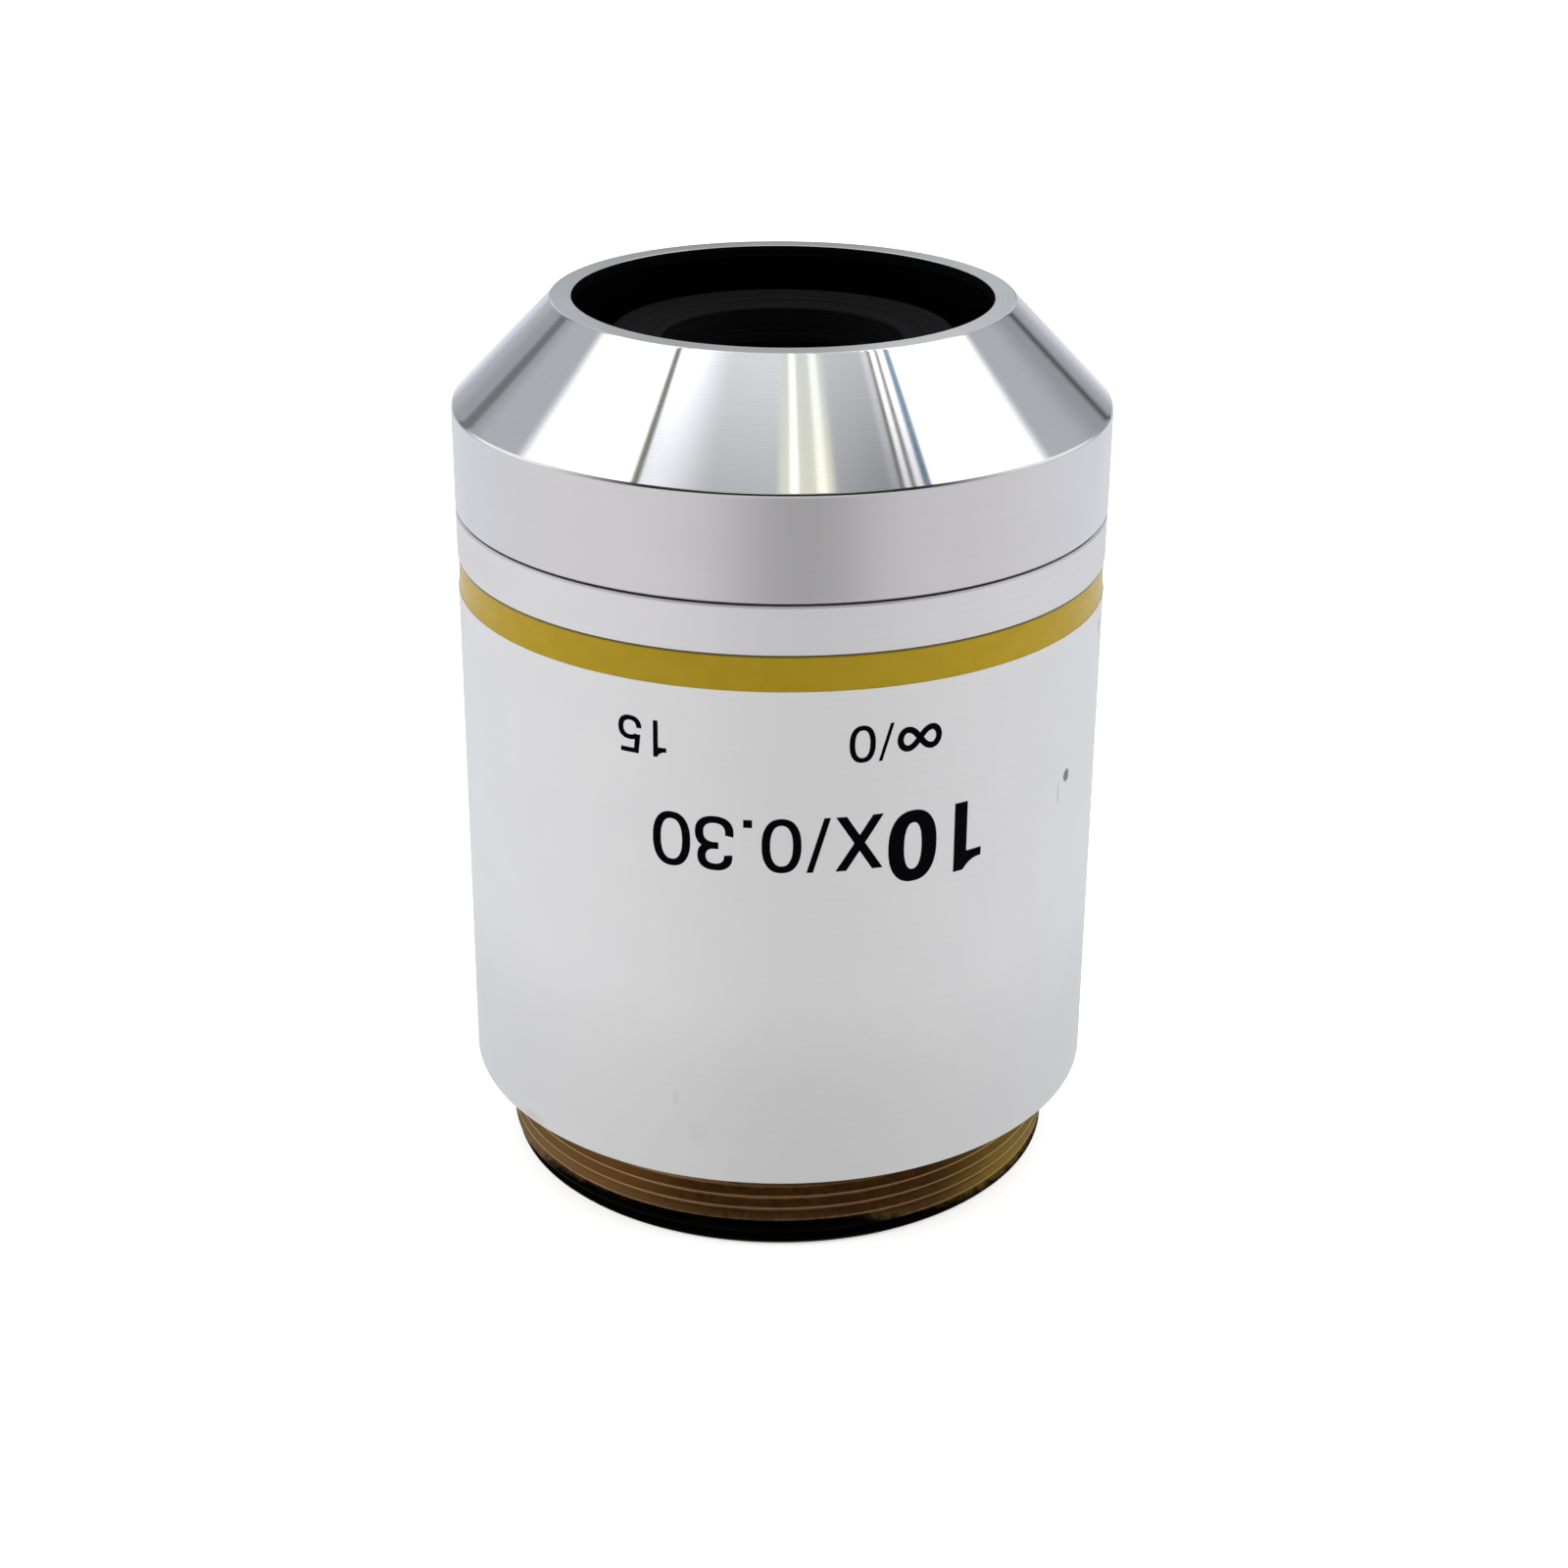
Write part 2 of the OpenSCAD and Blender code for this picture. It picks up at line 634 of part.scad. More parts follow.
module rear_stop() {
    color([0.1, 0.1, 0.1]) ring(cell_r, rear_r - stop_lip_w, stop_z, rear_cell_end_z);
}

module rear_retaining_ring() {
    color([0.12, 0.12, 0.13]) difference() {
        ring(cell_r, cell_r - retainer_wall, retainer_z, stop_z);
        translate([0, 0, retainer_z]) cube([3 * cell_r, slot_w, 2 * slot_depth], center = true);
    }
}

module dark_field_mirror() {
    curve = [for (i = [0 : mirror_steps])
        let (z = mirror_drop_z + (mirror_top_z - mirror_drop_z) * i / mirror_steps)
        [mirror_r_at(z), z]];
    shoulder_top_z = nose_well_top_z - mirror_gap;
    color([0.75, 0.76, 0.78]) rotate_extrude() polygon(concat(curve, [
        [nose_inner_r(mirror_top_z) - mirror_gap, mirror_top_z],
        [mirror_body_r, shoulder_top_z],
        [mirror_body_r, mirror_flange_z + mirror_flange_h],
        [skirt_bore_r - fit_gap, mirror_flange_z + mirror_flange_h],
        [skirt_bore_r - fit_gap, mirror_flange_z],
        [mirror_body_r, mirror_flange_z],
        [mirror_body_r, mirror_drop_z]
    ]));
}

nose_cone();
outer_sleeve();
colour_band();
mount_ring();
spider();
spider_lock_ring();
parfocal_shim();
lens_barrel();
front_cap();
front_lens();
front_lens_ring();
second_lens();
second_lens_cell();
spacer_1();
fore_doublet_flint();
fore_doublet_crown();
fore_doublet_cell();
spacer_2();
middle_doublet_crown();
middle_doublet_flint();
middle_doublet_cell();
centring_screws();
spacer_3();
rear_doublet_flint();
rear_doublet_crown();
rear_doublet_cell();
rear_stop();
rear_retaining_ring();
dark_field_mirror();
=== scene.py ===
"""A bright-field and dark-field microscope objective, standing nose up on its mounting thread."""

import math

import bmesh
import bpy
from mathutils import Matrix, Vector
from mathutils.geometry import delaunay_2d_cdt


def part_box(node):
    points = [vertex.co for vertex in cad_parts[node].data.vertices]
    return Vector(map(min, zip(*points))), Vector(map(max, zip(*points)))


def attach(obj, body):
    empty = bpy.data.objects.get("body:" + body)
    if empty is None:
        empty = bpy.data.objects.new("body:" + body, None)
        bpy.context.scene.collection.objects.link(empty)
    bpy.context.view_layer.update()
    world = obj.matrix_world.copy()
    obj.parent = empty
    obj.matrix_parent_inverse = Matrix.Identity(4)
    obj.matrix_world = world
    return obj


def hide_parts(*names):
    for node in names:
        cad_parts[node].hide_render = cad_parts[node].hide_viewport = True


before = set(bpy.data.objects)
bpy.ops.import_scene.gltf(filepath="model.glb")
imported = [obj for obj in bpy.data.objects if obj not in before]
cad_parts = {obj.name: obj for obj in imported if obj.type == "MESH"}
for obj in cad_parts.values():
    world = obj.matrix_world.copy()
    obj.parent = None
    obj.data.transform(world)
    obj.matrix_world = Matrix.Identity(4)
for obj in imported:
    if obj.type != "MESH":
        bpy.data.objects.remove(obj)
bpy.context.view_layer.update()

# Sizes are in millimetres, and the meshes are made in metres.
MM = 0.001
# Segments round the axis, and the distance within which two measures count as the same
SEGMENTS = 360
NEAR = 0.02

# Camera
LENS_MM = 62.90
SENSOR_MM = 36.0
CAMERA_BACK = 146.21
CAMERA_HEIGHT = 85.94
CAMERA_PITCH = math.radians(23.863)
CAMERA_ROLL = math.radians(0.419)
CAMERA_YAW = math.radians(0.096)

# Softened edges of the turned parts
EDGE_R = 0.07
FINE_EDGE_R = 0.03
# Depth of the sleeve surface below the ink that is printed on it
INK_H = 0.012
# Hollow of the enamel in the middle of its band
BAND_HOLLOW = 0.03

# Side lights in metres and watts, placed for the one on the right, and the glow of the floor
SIDE_LIGHT_PLACE = (0.7, -0.1, 0.35)
SIDE_LIGHT_SIZE = 0.5
SIDE_LIGHT_W = 4.0
FLOOR_SIZE = 1.5
FLOOR_GLOW = 0.45

# Mounting thread, with the shares of its pitch that the flat crest and root take
PITCH = 0.75
THREAD_DEPTH = 0.46
CREST_SHARE = 0.16
ROOT_SHARE = 0.14

# Printed figures: their height, the height of their top, and where each line starts
BIG_H = 3.08
BIG_TOP_Z = 27.28
BIG_START = 11.42
BOLD_H = 4.12
BOLD_TOP_Z = 27.18
SMALL_H = 2.05
SMALL_TOP_Z = 32.31
SMALL_START = 8.66


def points(node):
    """Radius and height of every vertex of a turned CAD node."""
    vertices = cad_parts[node].data.vertices
    return [(math.hypot(v.co.x, v.co.y) / MM, v.co.z / MM) for v in vertices]


def radii_at(node, z):
    """Inner and outer radius of a turned CAD node at one height."""
    found = [r for r, height in points(node) if abs(height - z) < NEAR]
    return min(found), max(found)


def z_range(node):
    """Lowest and highest point of a CAD node."""
    low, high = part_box(node)
    return low.z / MM, high.z / MM


def heights_at(node, r):
    """Lowest and highest point of a turned CAD node at one radius."""
    found = [height for radius, height in points(node) if abs(radius - r) < NEAR]
    return min(found), max(found)


class Graph:
    """Short calls for building a node tree."""

    def __init__(self, tree):
        self.tree = tree
        tree.nodes.clear()

    def put(self, node, key, value):
        if isinstance(value, bpy.types.NodeSocket):
            self.tree.links.new(value, node.inputs[key])
        elif value is not None:
            node.inputs[key].default_value = value

    def node(self, kind, inputs=None, **settings):
        made = self.tree.nodes.new(kind)
        for key, value in settings.items():
            setattr(made, key, value)
        for key, value in (inputs or {}).items():
            self.put(made, key, value)
        return made

    def math(self, operation, *values):
        made = self.node("ShaderNodeMath", operation=operation)
        for index, value in enumerate(values):
            self.put(made, index, value)
        return made.outputs[0]

    def step(self, value, start, end, low=0.0, high=1.0):
        """Goes smoothly from low to high as value goes from start to end."""
        inputs = {"Value": value, "From Min": start, "From Max": end, "To Min": low, "To Max": high}
        return self.node("ShaderNodeMapRange", inputs, interpolation_type="SMOOTHSTEP").outputs[0]

    def product(self, first, *others):
        """All the values multiplied together."""
        total = first
        for value in others:
            total = self.math("MULTIPLY", total, value)
        return total

    def between(self, value, start, soft_start, end, soft_end):
        """1 from start to end and 0 outside, with soft edges."""
        rise = self.step(value, start - soft_start, start + soft_start)
        fall = self.step(value, end - soft_end, end + soft_end, 1.0, 0.0)
        return self.math("MULTIPLY", rise, fall)

    def mix(self, share, a, b, blend="MIX"):
        inputs = {0: share, 6: a, 7: b}
        return self.node("ShaderNodeMix", inputs, data_type="RGBA", blend_type=blend).outputs[2]

    def mottle(self, value, low, high, start=0.3, end=0.7):
        """One colour where the noise is low and the other where it is high."""
        return self.mix(self.step(value, start, end), colour(*low), colour(*high))

    def grey(self, value):
        return self.node("ShaderNodeCombineColor", {0: value, 1: value, 2: value}).outputs[0]

    def noise(self, vector, scale, detail=2.0, roughness=0.5):
        inputs = {"Vector": vector, "Scale": scale, "Detail": detail, "Roughness": roughness}
        return self.node("ShaderNodeTexNoise", inputs).outputs[0]

    def place(self):
        """Position on the part in millimetres, its radius and its angle round the axis."""
        here = self.node("ShaderNodeTexCoord").outputs["Object"]
        inputs = {0: here, 3: 1 / MM}
        scaled = self.node("ShaderNodeVectorMath", inputs, operation="SCALE").outputs[0]
        parts = self.node("ShaderNodeSeparateXYZ", {0: scaled})
        x, y, z = parts.outputs
        square = self.math("ADD", self.math("POWER", x, 2.0), self.math("POWER", y, 2.0))
        across = self.math("SQRT", square)
        return scaled, across, self.math("ARCTAN2", y, x), z

    def turned(self, across, around):
        """Coordinates in which noise makes fine rings round the axis."""
        _, r, angle, z = self.place()
        inputs = {
            0: self.math("MULTIPLY", r, across),
            1: self.math("MULTIPLY", z, across),
            2: self.math("MULTIPLY", angle, around),
        }
        return self.node("ShaderNodeCombineXYZ", inputs).outputs[0]

    def mark(self, turn, z, half_w, half_h, soft):
        """1 inside a small oval on the sleeve, turn degrees to the right of the front, with a soft edge."""
        position, r, angle, height = self.place()
        from_middle = self.math("SUBTRACT", self.math("ADD", angle, math.pi / 2), math.radians(turn))
        across = self.math("DIVIDE", self.math("MULTIPLY", from_middle, r), half_w)
        up = self.math("DIVIDE", self.math("SUBTRACT", height, z), half_h)
        ragged = self.math("MULTIPLY", self.noise(position, 6.0, 2.0), 0.5)
        square = self.math("ADD", self.math("MULTIPLY", across, across), self.math("MULTIPLY", up, up))
        return self.step(self.math("ADD", square, ragged), 1.25 - soft, 1.25 + soft, 1.0, 0.0)

    def bump(self, height, strength, distance=0.02):
        inputs = {"Strength": strength, "Distance": distance * MM, "Height": height}
        return self.node("ShaderNodeBump", inputs).outputs[0]


def colour(r, g, b):
    return (r, g, b, 1.0)


def surface(name, make):
    """A material whose Principled shader make() fills in."""
    material = bpy.data.materials.new(name)
    material.use_nodes = True
    graph = Graph(material.node_tree)
    output = graph.node("ShaderNodeOutputMaterial")
    shader = graph.node("ShaderNodeBsdfPrincipled")
    graph.put(output, 0, shader.outputs[0])
    make(graph, shader)
    return material


def put_all(graph, shader, **values):
    """Sets the shader's sockets by their names, with _ for a space."""
    for key, value in values.items():
        graph.put(shader, key.replace("_", " "), value)


def turned_metal(name, base, dark, rough, rough_change=0.0, anisotropic=0.0, grooves=9.0, bump=0.03,
                 grain=0.0, marks=()):
    """Lathe-turned metal: fine rings in its colour, gloss and height, some grain, and marks of wear and
    painted light.
    """
    def make(graph, shader):
        rings = graph.noise(graph.turned(grooves, 0.5), 1.0, 3.0)
        position = graph.place()[0]
        cloud = graph.noise(position, 0.25, 3.0)
        height = rings
        if grain:
            speckle = graph.noise(position, 14.0, 1.0)
            height = graph.math("ADD", rings, graph.math("MULTIPLY", speckle, grain))
        shade = graph.math("ADD", graph.math("MULTIPLY", rings, 0.6), graph.math("MULTIPLY", cloud, 0.4))
        tone = graph.mottle(shade, dark, base, 0.35, 0.65)
        for *place, strength, tint, depth in marks:
            shape = graph.mark(*place)
            tone = graph.mix(graph.math("MULTIPLY", shape, strength), tone, colour(*tint))
            height = graph.math("SUBTRACT", height, graph.math("MULTIPLY", shape, depth))
        put_all(graph, shader, Metallic=1.0, Base_Color=tone,
                Roughness=graph.step(shade, 0.3, 0.7, rough + rough_change, rough - rough_change),
                Normal=graph.bump(height, bump))
        if anisotropic:
            tangent = graph.node("ShaderNodeTangent", direction_type="RADIAL", axis="Z")
            put_all(graph, shader, Anisotropic=anisotropic, Anisotropic_Rotation=0.25,
                    Tangent=tangent.outputs[0])
    return surface(name, make)


BAND_TOP_Z = z_range("colour_band")[1]


def enamel(graph, shader):
    """Yellow enamel with a thin dark line of painted shade under the upper edge of its groove."""
    position, _, _, z = graph.place()
    cloud = graph.noise(position, 0.9, 4.0)
    speckle = graph.noise(position, 22.0, 2.0)
    yellow = graph.mottle(cloud, (0.288, 0.194, 0.006), (0.306, 0.208, 0.008))
    # Painted shade: a thin dark line under the upper edge of the groove, where that edge shades the enamel.
    dirt_and_painted_light = graph.step(z, BAND_TOP_Z - 0.16, BAND_TOP_Z - 0.08, 0.0, 0.7)
    put_all(graph, shader,
            Base_Color=graph.mix(dirt_and_painted_light, yellow, colour(0.03, 0.022, 0.004)),
            Roughness=graph.step(speckle, 0.3, 0.7, 0.26, 0.32),
            Specular_IOR_Level=0.12,
            Normal=graph.bump(speckle, 0.03))


def black_anodised(graph, shader):
    rings = graph.noise(graph.turned(7.0, 0.4), 1.0, 2.0)
    dust = graph.noise(graph.place()[0], 9.0, 3.0)
    shade = graph.mottle(rings, (0.0026, 0.0026, 0.0030), (0.0048, 0.0048, 0.0054))
    put_all(graph, shader,
            Base_Color=graph.mix(graph.step(dust, 0.66, 0.8), shade, colour(0.016, 0.016, 0.018)),
            Roughness=graph.step(rings, 0.3, 0.7, 0.75, 0.68),
            Specular_IOR_Level=0.04,
            Normal=graph.bump(rings, 0.05))


def flocked_black(graph, shader):
    rings = graph.noise(graph.turned(5.0, 0.4), 1.0, 2.0)
    put_all(graph, shader,
            Base_Color=graph.mottle(rings, (0.001, 0.001, 0.0012), (0.002, 0.002, 0.0024)),
            Roughness=graph.step(rings, 0.3, 0.7, 0.9, 0.8),
            Specular_IOR_Level=0.02,
            Normal=graph.bump(rings, 0.05))


def ink(graph, shader):
    patches = graph.noise(graph.place()[0], 6.0, 3.0)
    put_all(graph, shader,
            Base_Color=graph.mottle(patches, (0.0005, 0.0005, 0.0008), (0.0013, 0.0012, 0.0018)),
            Roughness=graph.step(patches, 0.3, 0.7, 0.65, 0.55),
            Specular_IOR_Level=0.02,
            Normal=graph.bump(patches, 0.05, 0.004))


THREAD_R = radii_at("mount_ring", 4.5)[1]


def brass_black_below(graph, shader):
    """Brass thread, black on its lowest turns and brass lower down at the sides, with painted light on its
    flanks at both sides.
    """
    position, r, _, z = graph.place()
    x = graph.node("ShaderNodeSeparateXYZ", {0: position}).outputs[0]
    dirt_and_painted_light = graph.noise(position, 1.6, 4.0, 0.6)
    rings = graph.noise(graph.turned(12.0, 1.2), 1.0, 2.0)
    uneven_r = graph.math("ADD", r, graph.math("MULTIPLY", dirt_and_painted_light, 0.05))
    crest = graph.step(uneven_r, THREAD_R - 0.03, THREAD_R + 0.03)
    uneven_z = graph.math("ADD", z, graph.math("MULTIPLY", graph.math("SUBTRACT", dirt_and_painted_light, 0.5), 0.5))
    right = graph.step(x, 2.0, 11.0, 0.0, 1.05)
    left = graph.math("ADD", graph.step(x, -12.0, -4.0, 0.4, 0.0), graph.step(x, -15.5, -12.0, 0.6, 0.0))
    # Black on the lowest turns, reaching less high at the sides.
    brass_shows = graph.step(graph.math("ADD", uneven_z, graph.math("ADD", left, right)), 1.35, 2.15)
    brown = graph.mottle(dirt_and_painted_light, (0.17, 0.088, 0.033), (0.25, 0.145, 0.055))
    # Painted light: the flanks are a lighter brown at the far left.
    brown = graph.mix(graph.step(x, -10.0, -3.0, 1.0, 0.0), brown, colour(0.40, 0.25, 0.105))
    # Painted highlight: the flanks turn golden towards the right.
    painted_gold_highlight = graph.step(graph.math("SUBTRACT", x, graph.math("MULTIPLY", dirt_and_painted_light, 4.0)), 6.0, 12.0)
    flank = graph.mix(painted_gold_highlight, brown, colour(0.42, 0.29, 0.07))
    metal = graph.mix(graph.math("MULTIPLY", crest, 0.5), flank, colour(0.16, 0.105, 0.055))
    put_all(graph, shader,
            Base_Color=graph.mix(brass_shows, colour(0.001, 0.0008, 0.0006), metal),
            Metallic=graph.step(brass_shows, 0.0, 1.0, 0.0, 1.0),
            Roughness=graph.step(graph.math("ADD", rings, crest), 0.3, 1.5, 0.6, 0.45),
            Specular_IOR_Level=0.02,
            Normal=graph.bump(rings, 0.08))


def glass(name, tint):
    def make(graph, shader):
        dust = graph.noise(graph.place()[0], 11.0, 3.0)
        put_all(graph, shader,
                Base_Color=colour(*tint),
                Transmission_Weight=1.0,
                IOR=1.52,
                Specular_IOR_Level=0.06,
                Roughness=graph.step(dust, 0.68, 0.82, 0.0, 0.12))
    return surface(name, make)


# Marks of wear and painted light on the sleeve: degrees to the right of the front, height, half width and
# half height, softness of the edge, strength, colour and depth. The last one is painted shade all round the
# foot.
WEAR_AND_PAINTED_LIGHT = [
    (59.8, 25.93, 0.34, 0.36, 0.5, 0.75, (0.10, 0.10, 0.11), 3.0),
    # A raised lip beside the pit, painted a little lighter as its highlight.
    (60.9, 25.93, 0.10, 0.30, 0.5, 0.5, (0.85, 0.85, 0.88), -1.0),
    (56.9, 25.15, 0.07, 0.62, 0.6, 0.35, (0.34, 0.34, 0.36), 1.0),
    (75.6, 33.0, 0.22, 0.40, 0.6, 0.5, (0.25, 0.25, 0.27), 1.5),
    (1.1, 9.6, 0.16, 0.22, 0.6, 0.22, (0.80, 0.80, 0.80), 0.4),
    (9.0, 8.6, 0.30, 0.14, 0.6, 0.18, (0.80, 0.80, 0.80), 0.4),
    (-17.7, 10.25, 0.14, 0.40, 0.8, 0.12, (0.45, 0.38, 0.30), 0.2),
    (-14.0, 8.2, 0.5, 0.7, 0.8, 0.07, (0.45, 0.38, 0.28), 0.0),
    (-49.6, 5.65, 0.8, 0.35, 0.9, 0.3, (0.62, 0.54, 0.36), 0.0),
    # Painted shade all round the foot of the sleeve.
    (0.0, 3.0, 500.0, 10.0, 1.2, 0.29, (0.50, 0.50, 0.50), 0.0),
]

SATIN = turned_metal("satin_chrome", (0.83, 0.827, 0.835), (0.82, 0.818, 0.828), 0.64, 0.02,
                     grooves=12.0, bump=0.005, grain=1.2, marks=WEAR_AND_PAINTED_LIGHT)
STRIP = turned_metal("satin_strip", (0.765, 0.755, 0.77), (0.755, 0.745, 0.76), 0.56, 0.02,
                     grooves=12.0, bump=0.005, grain=0.6)
SKIRT = turned_metal("satin_skirt", (0.625, 0.612, 0.625), (0.61, 0.598, 0.612), 0.32, 0.01,
                     anisotropic=0.5, grooves=12.0, bump=0.004, grain=0.1)
BRIGHT = turned_metal("bright_turned", (0.87, 0.875, 0.885), (0.84, 0.845, 0.86), 0.06, 0.01,
                      grooves=16.0, bump=0.02)
RIM = turned_metal("turned_rim", (0.74, 0.745, 0.76), (0.70, 0.705, 0.72), 0.16, 0.02,
                   anisotropic=0.7, grooves=16.0, bump=0.01)
BRASS = surface("brass_black_below", brass_black_below)
ENAMEL = surface("yellow_enamel", enamel)
BLACK = surface("black_anodised", black_anodised)
DEEP_BLACK = surface("flat_black", flocked_black)
INK = surface("black_ink", ink)
ALUMINIUM = turned_metal("mirror_aluminium", (0.84, 0.845, 0.855), (0.76, 0.765, 0.78), 0.14, 0.02,
                         grooves=6.0, bump=0.01)
STEEL = turned_metal("screw_steel", (0.5, 0.5, 0.52), (0.4, 0.4, 0.42), 0.35, 0.05,
                     grooves=12.0, bump=0.05)
PLAIN_BRASS = turned_metal("plain_brass", (0.62, 0.44, 0.18), (0.5, 0.34, 0.13), 0.3, 0.05,
                           anisotropic=0.3)
CROWN = glass("crown_glass", (0.93, 0.97, 0.98))
FLINT = glass("flint_glass", (0.97, 0.96, 0.90))

SLOT_MATERIALS = {
    "satin_chrome": SATIN, "bright_cone": BRIGHT, "yellow_enamel": ENAMEL, "brass": PLAIN_BRASS,
    "black_anodised": BLACK, "black_brass": DEEP_BLACK, "mirror_aluminium": ALUMINIUM,
    "screw_steel": STEEL, "crown_glass": CROWN, "flint_glass": FLINT,
}


def finish_cad_nodes():
    """Gives every CAD node the material of its slot."""
    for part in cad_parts.values():
        for slot in part.material_slots:
            slot.material = SLOT_MATERIALS[slot.material.name]
        for face in part.data.polygons:
            face.use_smooth = True


def add_piece(name, mesh, replaced=None):
    piece = bpy.data.objects.new(name, mesh)
    bpy.context.scene.collection.objects.link(piece)
    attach(piece, "root")
    if replaced:
        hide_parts(replaced)
    return piece


def softened(corners, steps=3):
    """Rounds the corners of a closed outline. Each corner is (r, z, edge radius, material)."""
    outline = []
    for i, (r, z, edge_r, wall) in enumerate(corners):
        if not edge_r:
            outline.append((r, z, wall))
            continue
        before, after = corners[i - 1], corners[(i + 1) % len(corners)]
        ends = []
        for r2, z2 in (before[:2], after[:2]):
            length = math.hypot(r2 - r, z2 - z)
            share = min(edge_r, length / 3) / length
            ends.append((r + (r2 - r) * share, z + (z2 - z) * share))
        (r1, z1), (r2, z2) = ends
        for k in range(steps + 1):
            t = k / steps
            a, b, c = (1 - t) ** 2, 2 * t * (1 - t), t ** 2
            outline.append((a * r1 + b * r + c * r2, a * z1 + b * z + c * z2, wall))
    return outline


def ring_of(bm, radius, z, segments=SEGMENTS):
    """A ring of vertices. The radius and height are numbers or functions of the angle."""
    ring = []
    for k in range(segments):
        angle = 2 * math.pi * k / segments
        r = radius(angle) if callable(radius) else radius
        ring.append(bm.verts.new((r * math.cos(angle) * MM, r * math.sin(angle) * MM, z * MM)))
    return ring


def join_rings(bm, low, high, wall):
    for k in range(len(low)):
        n = (k + 1) % len(low)
        face = bm.faces.new((low[k], low[n], high[n], high[k]))
        face.material_index = wall
        face.smooth = True


def to_mesh(bm, name, materials, sharp_deg=1.5):
    """Makes the mesh, smooth round the axis and sharp where two turned faces meet."""
    bmesh.ops.recalc_face_normals(bm, faces=bm.faces[:])
    for edge in bm.edges:
        if edge.is_manifold and edge.calc_face_angle() > math.radians(sharp_deg):
            edge.smooth = False
    mesh = bpy.data.meshes.new(name)
    bm.to_mesh(mesh)
    bm.free()
    for material in materials:
        mesh.materials.append(material)
    return mesh


def lathe(name, outline, materials):
    """Turns a closed outline of (r, z, material of the wall to the next point) round the axis."""
    bm = bmesh.new()
    rings = [ring_of(bm, r, z) for r, z, _ in outline]
    for i, (_, _, wall) in enumerate(outline):
        join_rings(bm, rings[i], rings[(i + 1) % len(rings)], wall)
    return to_mesh(bm, name, materials)


def build_nose():
    """Bright cone and rim, satin skirt and a black inside, all one piece."""
    seam_z, front_z = z_range("nose_cone")
    mouth_r, rim_r = radii_at("nose_cone", front_z)
    skirt_bore_r, bevel_r = radii_at("nose_cone", seam_z)
    body_r = max(r for r, _ in points("nose_cone"))
    skirt_low_z, skirt_high_z = heights_at("nose_cone", body_r)
    cone_base_z = heights_at("nose_cone", bevel_r)[1]
    lip_z = heights_at("nose_cone", mouth_r)[0]
    step_z = heights_at("nose_cone", skirt_bore_r)[1]
    well_r = radii_at("nose_cone", step_z)[0]
    well_top_z = heights_at("nose_cone", well_r)[1]
    rim, cone, skirt, inside = range(4)
    corners = [
        (mouth_r, front_z, FINE_EDGE_R, rim), (rim_r, front_z, EDGE_R, cone),
        (bevel_r, cone_base_z, EDGE_R, cone), (body_r, skirt_high_z, EDGE_R, skirt),
        (body_r, skirt_low_z, FINE_EDGE_R, skirt), (bevel_r, seam_z, 0, inside),
        (skirt_bore_r, seam_z, 0, inside), (skirt_bore_r, step_z, 0, inside),
        (well_r, step_z, 0, inside), (well_r, well_top_z, 0, inside),
        (mouth_r, lip_z, 0, inside),
    ]
    mesh = lathe("nose", softened(corners), [RIM, BRIGHT, SKIRT, DEEP_BLACK])
    add_piece("nose", mesh, "nose_cone")


def build_sleeve():
    """Satin sleeve, its surface lower than the CAD sleeve by the height of the ink."""
    foot_z, spigot_z = z_range("outer_sleeve")
    bore_r, spigot_r = radii_at("outer_sleeve", spigot_z)
    band_z, band_top_z = z_range("colour_band")
    groove_r = radii_at("colour_band", band_z)[0]
    foot_bore_r, bevel_r = radii_at("outer_sleeve", foot_z)
    foot_top_z = heights_at("outer_sleeve", foot_bore_r)[1]
    full_r = max(r for r, _ in points("outer_sleeve"))
    body_r = full_r - INK_H
    low_z, high_z = heights_at("outer_sleeve", full_r)
    top_z = heights_at("outer_sleeve", spigot_r)[0]
    satin, strip, inside = range(3)
    corners = [
        (bore_r, spigot_z, 0, inside), (spigot_r, spigot_z, 0, inside),
        (spigot_r, top_z, 0, strip), (bevel_r, top_z, FINE_EDGE_R, strip),
        (body_r, high_z, FINE_EDGE_R, strip), (body_r, band_top_z, FINE_EDGE_R, inside),
        (groove_r, band_top_z, 0, inside), (groove_r, band_z, 0, inside),
        (body_r, band_z, FINE_EDGE_R, satin), (body_r, low_z, FINE_EDGE_R, satin),
        (bevel_r, foot_z, FINE_EDGE_R, inside), (foot_bore_r, foot_z, 0, inside),
        (foot_bore_r, foot_top_z, 0, inside), (bore_r, foot_top_z, 0, inside),
    ]
    mesh = lathe("sleeve", softened(corners), [SATIN, STRIP, DEEP_BLACK])
    add_piece("sleeve", mesh, "outer_sleeve")
    return body_r


def build_band():
    """Enamel in its groove, slightly hollow across its width as it dried."""
    low_z, high_z = z_range("colour_band")
    inner_r, outer_r = radii_at("colour_band", low_z)
    steps = 8
    outline = [(inner_r, high_z, 0), (inner_r, low_z, 0)]
    for k in range(steps + 1):
        t = k / steps
        outline.append((outer_r - BAND_HOLLOW * 4 * t * (1 - t), low_z + (high_z - low_z) * t, 0))
    mesh = lathe("band", outline, [ENAMEL])
    add_piece("band", mesh, "colour_band")


